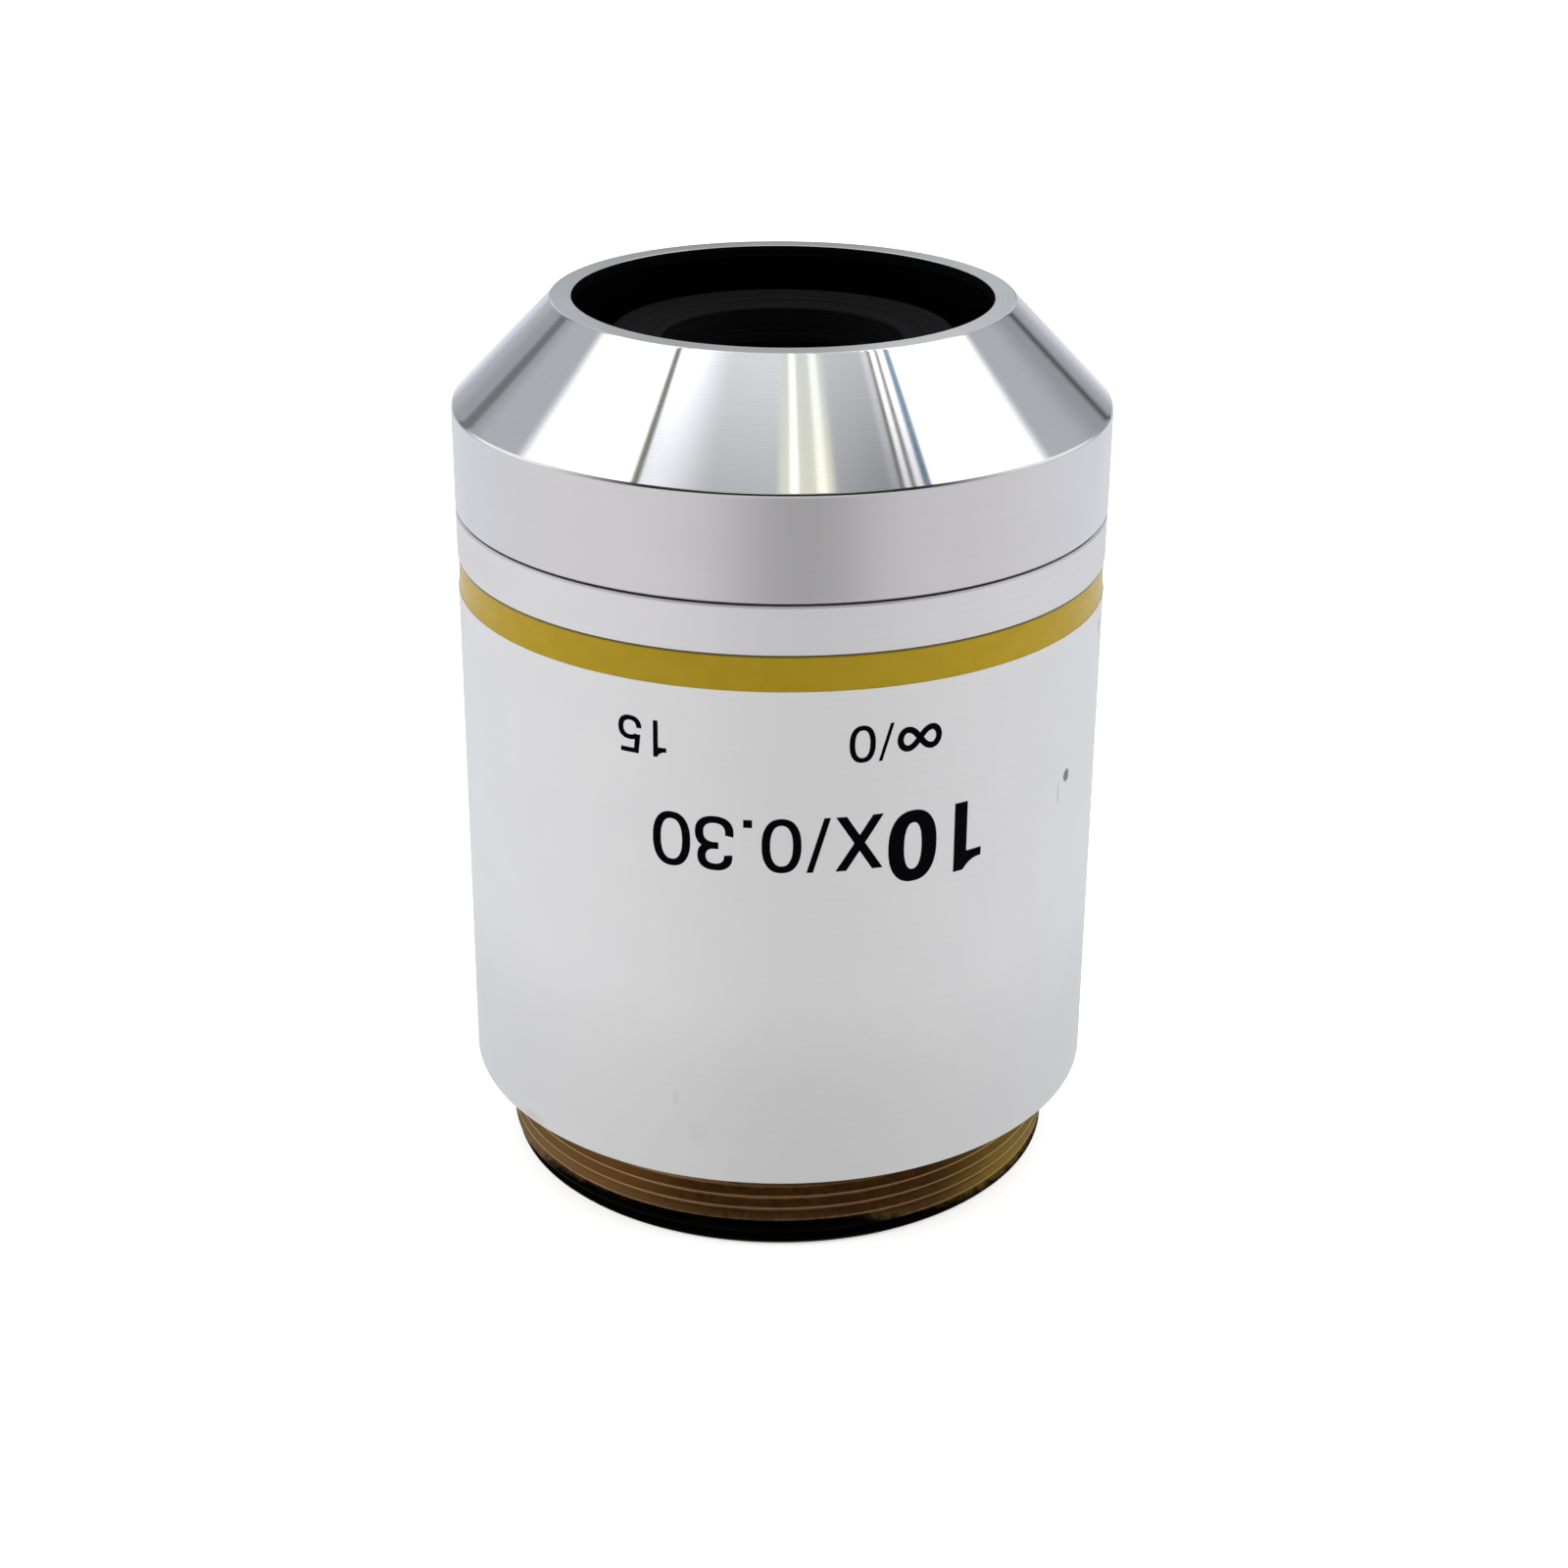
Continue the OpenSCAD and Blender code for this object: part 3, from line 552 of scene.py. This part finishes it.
def build_mount():
    """Brass mount with a real helical thread, its relief and the flange inside the sleeve."""
    low_z, high_z = z_range("mount_ring")
    flange_r = radii_at("mount_ring", high_z)[1]
    bore_r = radii_at("mount_ring", high_z)[0]
    lip_r = radii_at("mount_ring", low_z)[0]
    end_r = radii_at("mount_ring", low_z)[1]
    lip_z = heights_at("mount_ring", lip_r)[1]
    relief_z = heights_at("mount_ring", THREAD_R)[1]
    shoulder_z = heights_at("mount_ring", flange_r)[0]
    relief_r = radii_at("mount_ring", relief_z)[0]

    def thread_r(angle, z):
        phase = (z / PITCH - angle / (2 * math.pi)) % 1.0
        from_crest = abs(phase - 0.5) * 2
        flank = (from_crest - CREST_SHARE) / (1 - CREST_SHARE - ROOT_SHARE)
        profile = THREAD_R - THREAD_DEPTH * min(max(flank, 0.0), 1.0)
        return min(profile, end_r + z - low_z, relief_r + relief_z - z)

    marks = [0.0, 0.5 * ROOT_SHARE]
    steps = 3
    start, end = 0.5 * ROOT_SHARE, 0.5 * (1 - CREST_SHARE)
    marks += [start + (end - start) * k / steps for k in range(1, steps + 1)]
    marks += [1 - m for m in reversed(marks[1:])]
    turns = int((relief_z - low_z) / PITCH) + 2
    rows = [n + m for n in range(-1, turns) for m in marks]

    bm = bmesh.new()

    def row_vertex(row, k):
        angle = 2 * math.pi * k / SEGMENTS
        z = min(max((row + k / SEGMENTS) * PITCH, low_z), relief_z)
        r = thread_r(angle, z)
        return bm.verts.new((r * math.cos(angle) * MM, r * math.sin(angle) * MM, z * MM))

    # A row climbs by one pitch in a turn, so its end meets the start of the row one turn further on.
    grid = [[row_vertex(row, k) for k in range(SEGMENTS)] for row in rows]
    for i in range(len(grid) - 1):
        for k in range(SEGMENTS):
            if k + 1 < SEGMENTS:
                right_low, right_high = grid[i][k + 1], grid[i + 1][k + 1]
            elif i + 1 + len(marks) < len(grid):
                right_low, right_high = grid[i + len(marks)][0], grid[i + 1 + len(marks)][0]
            else:
                continue
            face = bm.faces.new((grid[i][k], right_low, right_high, grid[i + 1][k]))
            face.smooth = True
    corners = [
        (relief_r, relief_z), (relief_r, shoulder_z), (flange_r, shoulder_z), (flange_r, high_z),
        (bore_r, high_z), (bore_r, lip_z), (lip_r, lip_z), (lip_r, low_z),
    ]
    rings = [ring_of(bm, r, z) for r, z in corners]
    rings.append(ring_of(bm, lambda angle: thread_r(angle, low_z), low_z))
    for low, high in zip(rings, rings[1:]):
        join_rings(bm, low, high, 0)
    bmesh.ops.remove_doubles(bm, verts=bm.verts[:], dist=1e-7)
    bmesh.ops.dissolve_degenerate(bm, edges=bm.edges[:], dist=1e-7)
    add_piece("mount", to_mesh(bm, "mount", [BRASS], 12), "mount_ring")


# Figures are drawn in their own plane, x to the right and y up, and laid on the sleeve later.
# Each stroke is two rows of points that run side by side, and strokes may overlap.
# Power of the ovals: 2 is an ellipse, and more is squarer.
ROUNDNESS = 2.35


def oval_point(centre_x, centre_y, half_w, half_h, turn):
    c, s = math.cos(turn), math.sin(turn)
    power = 2 / ROUNDNESS
    return (centre_x + half_w * math.copysign(abs(c) ** power, c),
            centre_y + half_h * math.copysign(abs(s) ** power, s))


def bowl(x, y, width, height, upright, level, start=0, end=360):
    """Stroke along an oval, from one angle to another in degrees."""
    half_w, half_h = width / 2, height / 2
    steps = max(12, round(abs(end - start) / 5))
    turns = [math.radians(start + (end - start) * k / steps) for k in range(steps + 1)]
    outer = [oval_point(x + half_w, y + half_h, half_w, half_h, t) for t in turns]
    inner = [oval_point(x + half_w, y + half_h, half_w - upright, half_h - level, t) for t in turns]
    return outer, inner


def bar(x0, y0, x1, y1, width):
    """Straight stroke up from one point to another, cut level at both ends."""
    steps = max(2, round(abs(y1 - y0) / 0.25))
    left = [(x0 + (x1 - x0) * k / steps, y0 + (y1 - y0) * k / steps) for k in range(steps + 1)]
    return left, [(x + width, y) for x, y in left]


def beam(x0, x1, low, high):
    """Level stroke between two heights."""
    steps = max(2, round((x1 - x0) / 0.25))
    xs = [x0 + (x1 - x0) * k / steps for k in range(steps + 1)]
    return [(x, low) for x in xs], [(x, high) for x in xs]


def zero(w, h, upright, level):
    return [bowl(0, 0, w, h, upright, level)]


def one(w, h, upright, level):
    """Stem with a flag that curves up into its top."""
    flag_low = 0.73 * h
    tip = flag_low + level
    top_x = w - 0.75 * upright
    steps = 10
    xs = [top_x * k / steps for k in range(steps + 1)]
    curve = [(x, tip + (h - tip) * (x / top_x) ** 2.7) for x in xs]
    flag = ([(x, flag_low) for x in xs], curve)
    return [bar(w - upright, 0, w - upright, flag_low, upright), bar(top_x, 0, top_x, h, w - top_x), flag]


def three(w, h, upright, level):
    middle = 0.54 * h
    lower = bowl(0, 0, w, middle + level / 2, upright, level, 90, -190)
    upper = bowl(0.03 * w, middle - level / 2, 0.91 * w, h - middle + level / 2, upright, level, 186, -90)
    return [lower, upper, beam(0.39 * w, 0.55 * w, middle - level / 2, middle + level / 2)]


def five(w, h, upright, level):
    stem = bar(0.05 * w, 0.49 * h, 0.14 * w, h, upright)
    belly = bowl(0, 0, w, 0.65 * h, upright, level, 138, -178)
    return [beam(0.14 * w, 0.9 * w, h - level, h), stem, belly]


def slash(w, h, upright, _level):
    return [bar(0, 0, w - upright, h, upright)]


def times(w, h, upright, _level):
    return [bar(0, 0, w - upright, h, upright), bar(w - upright, 0, 0, h, upright)]


def point(w, h, _upright, _level):
    return [beam(0, w, 0, h)]


def endless(w, h, upright, _level):
    """Sign for an infinite tube length: one stroke that crosses itself in the middle."""
    half_w, half_h = (w - upright) / 2, (h - upright) / 2
    steps = 64
    path = []
    for k in range(steps + 1):
        t = 2 * math.pi * (k + 0.5) / steps
        share = 1 / (1 + math.sin(t) ** 2)
        path.append(Vector((w / 2 + half_w * math.cos(t) * share,
                            h / 2 + half_h * math.sin(2 * t) * share * math.sqrt(2))))
    sides = []
    for k in range(steps):
        along = (path[k + 1] - path[k - 1 if k else -2]).normalized()
        across = Vector((-along.y, along.x)) * upright / 2
        sides.append((path[k] - across, path[k] + across))
    sides.append(sides[0])
    return [([tuple(a) for a, _ in sides], [tuple(b) for _, b in sides])]


def fill_strokes(bm, strokes):
    """Fills the area that the strokes cover together with one flat sheet."""
    corners, faces = [], []
    for left, right in strokes:
        for k in range(len(left) - 1):
            quad = [left[k], left[k + 1], right[k + 1], right[k]]
            area = sum(a[0] * b[1] - b[0] * a[1] for a, b in zip(quad, quad[1:] + quad[:1]))
            if area < 0:
                quad.reverse()
            faces.append(list(range(len(corners), len(corners) + 4)))
            corners.extend(Vector(p) for p in quad)
    flat, _, triangles, _, _, covered = delaunay_2d_cdt(corners, [], faces, 1, 1e-4)
    made = [bm.verts.new((x, y, 0)) for x, y in flat]
    for triangle, sources in zip(triangles, covered):
        if sources:
            bm.faces.new([made[i] for i in triangle])
    for vertex in made:
        if not vertex.link_faces:
            bm.verts.remove(vertex)


def print_line(name, sleeve_r, start, top_z, figures):
    """Lays a row of figures on the sleeve. It reads with the thread up, so it runs from right to left."""
    bm = bmesh.new()
    for draw, x, y, *sizes in figures:
        strokes = [[[(px + x, py + y) for px, py in row] for row in stroke] for stroke in draw(*sizes)]
        fill_strokes(bm, strokes)
    # Until the figures are laid on the sleeve, z only tells their top from their underside.
    top = bmesh.ops.extrude_face_region(bm, geom=bm.faces[:])
    for item in top["geom"]:
        if isinstance(item, bmesh.types.BMVert):
            item.co.z = 1.0
    for vertex in bm.verts:
        x, y, lift = vertex.co
        r = sleeve_r + (INK_H * 0.8 if lift else -INK_H)
        angle = (start - x) / sleeve_r
        vertex.co = (r * math.sin(angle) * MM, -r * math.cos(angle) * MM, (top_z - y) * MM)
    for face in bm.faces:
        face.smooth = True
    add_piece(name, to_mesh(bm, name, [INK], 30))


def build_print(sleeve_r):
    """Generic figures: magnification and aperture, then tube length and distance."""
    fine, bold, small = (0.44, 0.38), (0.88, 0.70), (0.29, 0.26)
    drop = BIG_TOP_Z - BOLD_TOP_Z
    print_line("print_magnification", sleeve_r, BIG_START, BIG_TOP_Z, [
        (one, 0.0, drop + 0.10, 1.78, BOLD_H - 0.17, 0.80, 0.48),
        (zero, 2.88, drop - 0.04, 2.77, BOLD_H - 0.04, *bold),
        (times, 5.95, 0, 2.54, BIG_H, 0.57, 0),
        (slash, 8.76, 0, 1.25, BIG_H, 0.34, 0),
        (zero, 10.28, 0, 2.06, BIG_H, *fine),
        (point, 12.84, 0.10, 0.46, 0.44, 0, 0),
        (three, 13.80, 0, 2.04, BIG_H, *fine),
        (zero, 16.10, 0, 2.06, BIG_H, *fine),
    ])
    print_line("print_distance", sleeve_r, SMALL_START, SMALL_TOP_Z, [
        (endless, 0.0, 0.35, 2.53, 1.38, 0.34, 0),
        (slash, 2.72, 0, 0.81, SMALL_H, 0.19, 0),
        (zero, 3.71, 0, 1.38, SMALL_H, *small),
        (one, 14.60, 0.06, 0.72, SMALL_H - 0.03, 0.26, 0.24),
        (five, 15.97, 0, 1.34, SMALL_H, *small),
    ])


# Studio. Softboxes and gaps are given by the angle round the cone at which it shows them, in
# degrees to the right of the middle, so that they run along its slope as on real turned metal.
# Forward part of the direction from the cone to the camera
TO_CAMERA = 0.959
# Degrees by which the near camera spreads the lines, and by which the outer ones lean
SPREAD = 3.4
LEAN = 4.2
# How far outward the directions point that the cone shows along its slope
SLOPE_START = 0.29
SLOPE_END = 0.35
# Height of the directions that the rounded edge under the cone shows, by how far outward they point
EDGE_RISE = 1.415
EDGE_DROP = 0.578
# Heights of direction at which the walls of the tent go over into what the cone shows
WALL_ELEVATION = -0.20
CONE_ELEVATION = -0.04
# Brightness of the ceiling and of the large softboxes
CEILING = 0.48
BOX = 1.4
COOL = (0.965, 0.985, 1.05)
PLAIN = (0.99, 0.995, 1.03)
WARM = (1.0, 0.94, 0.6)
# (start, softness, end, softness, brightness, tint)
PANELS = [
    (-110, 4, -88, 6, 0.80, COOL),
    (-77, 6, -60.5, 3, 0.365, COOL),
    (-67.9, 1.3, -63.6, 1.0, 0.19, COOL),
    (-46.6, 2.2, -24.5, 0.25, BOX, (1, 1, 1)),
    (-24.5, 0.2, -23.3, 0.2, 0.16, WARM),
    (-0.6, 0.5, 8.4, 0.5, 0.74, (1, 1.01, 0.95)),
    (1.4, 0.4, 2.6, 0.4, 1.45, (1, 1, 0.97)),
    (5.6, 0.4, 7.3, 0.5, 1.15, (1, 1, 0.95)),
    (17.6, 0.6, 19.0, 0.3, 0.72, PLAIN),
    (19.05, 0.2, 19.8, 0.2, 0.16, (1.1, 0.95, 0.97)),
    (19.8, 0.2, 20.85, 0.2, 1.5, (1, 1, 1)),
    (20.95, 0.2, 21.65, 0.2, 0.20, (1.1, 0.95, 1.0)),
    (21.7, 0.2, 23.0, 0.2, 1.6, (1, 1, 1.02)),
    (23.1, 0.25, 24.3, 0.2, 0.34, (0.55, 0.95, 1.35)),
    (24.4, 0.2, 47.6, 2.0, BOX, (1, 1, 1)),
    (62, 6, 80, 6, 0.34, COOL),
    (71.8, 2.2, 75.2, 2.2, 0.08, COOL),
    (88, 6, 110, 4, 0.75, COOL),
]


def bell(graph, value, middle, width):
    """Goes from 1 at the middle to 0 on both sides."""
    away = graph.math("DIVIDE", graph.math("SUBTRACT", value, middle), width)
    return graph.math("POWER", math.e, graph.product(away, away, -1.0))


def cone_coordinates(graph, x, y):
    """For a direction: the angle at which the cone shows it, its own angle, and how far out it points."""
    depth = graph.math("MAXIMUM", graph.math("SUBTRACT", TO_CAMERA, y), 0.01)
    angle = graph.math("ARCTAN2", x, depth)
    turn = graph.math("MULTIPLY", angle, math.degrees(1))
    sine = graph.math("SINE", angle)
    cosine = graph.math("COSINE", angle)
    outward = graph.math("SUBTRACT", graph.math("MULTIPLY", x, sine), graph.math("MULTIPLY", y, cosine))
    # The camera is near, which spreads what the cone shows. The outer lines lean a little.
    spread = graph.math("MULTIPLY", graph.math("SINE", graph.math("MULTIPLY", angle, 1.5)), SPREAD)
    inputs = {0: outward, 1: SLOPE_START, 2: SLOPE_END, 3: -LEAN, 4: LEAN}
    tilt = graph.node("ShaderNodeMapRange", inputs).outputs[0]
    at_side = graph.math("POWER", graph.math("ABSOLUTE", sine), 8.0)
    lean = graph.math("MULTIPLY", at_side, graph.math("MULTIPLY", graph.math("SIGN", x), tilt))
    shown_at = graph.math("SUBTRACT", graph.math("SUBTRACT", turn, spread), lean)
    return shown_at, turn, outward


def cone_light(graph, shown_at, outward):
    """Ceiling over the camera, brighter to the left and towards the top of the cone, and the panels."""
    light = colour(*(CEILING * share for share in COOL))
    middle = graph.between(shown_at, -23.3, 0.1, 24.3, 0.1)
    left = graph.step(shown_at, -22, -10, 1.30, 0.67)
    right = graph.step(shown_at, 6, 10, 1.0, 0.79)
    ceiling = graph.mix(1.0, graph.grey(graph.math("MULTIPLY", left, right)), colour(*PLAIN), "MULTIPLY")
    light = graph.mix(middle, light, ceiling)
    for start, soft_start, end, soft_end, brightness, tint in PANELS:
        inside = graph.between(shown_at, start, soft_start, end, soft_end)
        light = graph.mix(inside, light, colour(*(brightness * share for share in tint)))
    streak = graph.between(shown_at, -0.5, 0.5, 8.5, 0.5)
    lowest = graph.step(shown_at, 6, 20, 0.74, 0.55)
    inputs = {0: outward, 1: 0.285, 2: 0.335, 3: 1.2, 4: lowest}
    slope = graph.node("ShaderNodeMapRange", inputs).outputs[0]
    beside = graph.math("MULTIPLY", middle, graph.math("SUBTRACT", 1.0, streak))
    light = graph.mix(beside, light, graph.grey(slope), "MULTIPLY")
    warm = graph.math("MULTIPLY", streak, graph.step(outward, 0.29, 0.33))
    return graph.mix(warm, light, colour(1.03, 1.03, 0.90), "MULTIPLY")


def front_light(graph, light, shown_at, turn, outward, z):
    """Front of the tent, with the dark camera above it that the rounded edge under the cone shows."""
    front = graph.grey(graph.step(shown_at, -10, 6, 1.0, 0.92))
    light = graph.mix(graph.step(outward, 0.42, 0.52), light, front)
    on_edge = graph.math("SUBTRACT", graph.math("MULTIPLY", outward, EDGE_RISE), EDGE_DROP)
    off_edge = graph.math("SUBTRACT", z, on_edge)
    camera = graph.product(
        graph.step(off_edge, -0.15, -0.10), graph.step(off_edge, 0.50, 0.60, 1.0, 0.0),
        graph.step(outward, 0.38, 0.46), graph.step(graph.math("ABSOLUTE", turn), 22, 52, 1.0, 0.0))
    return graph.mix(camera, light, colour(0.03, 0.03, 0.03))


def rim_light(graph, light, x, y, z):
    """Far end of the room with its window, seen in the flat rim."""
    sideways = graph.math("ABSOLUTE", x)
    beyond = graph.product(
        graph.step(y, 0.80, 0.88), graph.step(z, 0.40, 0.60, 1.0, 0.0),
        graph.step(sideways, 0.27, 0.34, 1.0, 0.0), graph.step(z, 0.04, 0.10))
    window = graph.product(
        graph.step(x, 0.02, 0.045), graph.step(x, 0.065, 0.09, 1.0, 0.0),
        graph.step(z, 0.235, 0.25, 0.0, 0.35))
    back = graph.step(z, 0.215, 0.25, 0.22, 0.52)
    sides = graph.step(sideways, 0.045, 0.085, 0.0, 0.17)
    far = graph.math("ADD", graph.math("ADD", back, sides), window)
    tint = graph.mix(graph.step(sideways, 0.05, 0.09), colour(1, 1, 1), colour(0.95, 1, 1.06))
    return graph.mix(beyond, light, graph.mix(1.0, graph.grey(far), tint, "MULTIPLY"))


def wall_light(graph, turn, z):
    """Walls of the tent, darker where the camera stands and down where the object shades the table."""
    dip = graph.math("MULTIPLY", bell(graph, turn, 3.5, 14.0), graph.step(z, -0.55, -0.36, 0.08, 0.73))
    side_dip = graph.math("MULTIPLY", bell(graph, turn, 34.0, 12.0), 0.10)
    table = graph.step(z, -0.70, -0.40, 0.80, 1.03)
    front = graph.product(graph.math("SUBTRACT", 1.0, dip), graph.math("SUBTRACT", 1.0, side_dip), table)
    at_side = graph.step(graph.math("ABSOLUTE", turn), 38, 60)
    return graph.mix(at_side, graph.grey(front), colour(0.95, 0.975, 1.03), "MULTIPLY")


def build_world():
    """Draws the studio in the world for reflections and plain light. The camera itself sees white."""
    world = bpy.data.worlds.new("studio")
    bpy.context.scene.world = world
    world.use_nodes = True
    graph = Graph(world.node_tree)
    direction = graph.node("ShaderNodeTexCoord").outputs["Generated"]
    x, y, z = graph.node("ShaderNodeSeparateXYZ", {0: direction}).outputs
    shown_at, turn, outward = cone_coordinates(graph, x, y)
    light = cone_light(graph, shown_at, outward)
    light = front_light(graph, light, shown_at, turn, outward, z)
    light = rim_light(graph, light, x, y, z)
    light = graph.mix(graph.step(z, WALL_ELEVATION, CONE_ELEVATION), wall_light(graph, turn, z), light)
    path = graph.node("ShaderNodeLightPath")
    shown = graph.mix(path.outputs["Is Camera Ray"], light, colour(1, 1, 1))
    background = graph.node("ShaderNodeBackground", {0: shown, 1: 1.0})
    graph.put(graph.node("ShaderNodeOutputWorld"), 0, background.outputs[0])


def build_side_lights():
    """Softboxes left and right that light the matt surfaces. The metal sees those of the world."""
    for side in (-1, 1):
        data = bpy.data.lights.new("side_light", "AREA")
        data.size = SIDE_LIGHT_SIZE
        data.energy = SIDE_LIGHT_W
        lamp = bpy.data.objects.new("side_light", data)
        x, y, z = SIDE_LIGHT_PLACE
        place = Vector((side * x, y, z))
        lamp.matrix_world = Matrix.Translation(place) @ place.to_track_quat("Z", "Y").to_matrix().to_4x4()
        lamp.visible_glossy = False
        bpy.context.scene.collection.objects.link(lamp)


def build_floor():
    mesh = bpy.data.meshes.new("floor")
    far = FLOOR_SIZE
    corners = [(-far, -far, 0), (far, -far, 0), (far, far, 0), (-far, far, 0)]
    mesh.from_pydata(corners, [], [(0, 1, 2, 3)])
    floor = bpy.data.objects.new("floor", mesh)
    bpy.context.scene.collection.objects.link(floor)
    material = bpy.data.materials.new("floor")
    material.use_nodes = True
    graph = Graph(material.node_tree)
    matt = graph.node("ShaderNodeBsdfDiffuse", {0: colour(0.9, 0.9, 0.9)})
    glow = graph.node("ShaderNodeEmission", {0: colour(1, 1, 1)})
    path = graph.node("ShaderNodeLightPath")
    graph.put(glow, 1, graph.math("MULTIPLY", path.outputs["Is Camera Ray"], FLOOR_GLOW))
    both = graph.node("ShaderNodeAddShader", {0: matt.outputs[0], 1: glow.outputs[0]})
    graph.put(graph.node("ShaderNodeOutputMaterial"), 0, both.outputs[0])
    mesh.materials.append(material)
    floor.visible_glossy = False


def build_camera():
    data = bpy.data.cameras.new("camera")
    data.lens = LENS_MM
    data.sensor_width = SENSOR_MM
    data.clip_start = 0.005
    camera = bpy.data.objects.new("camera", data)
    turn = Matrix.Rotation(-CAMERA_YAW, 4, "Z") @ Matrix.Rotation(math.pi / 2 - CAMERA_PITCH, 4, "X")
    place = Matrix.Translation((0, -CAMERA_BACK * MM, CAMERA_HEIGHT * MM))
    camera.matrix_world = place @ turn @ Matrix.Rotation(CAMERA_ROLL, 4, "Z")
    bpy.context.scene.collection.objects.link(camera)
    bpy.context.scene.camera = camera


build_camera()
build_world()
build_side_lights()
build_floor()
finish_cad_nodes()
build_nose()
build_print(build_sleeve())
build_band()
build_mount()

scene = bpy.context.scene
scene.view_settings.view_transform = "Standard"
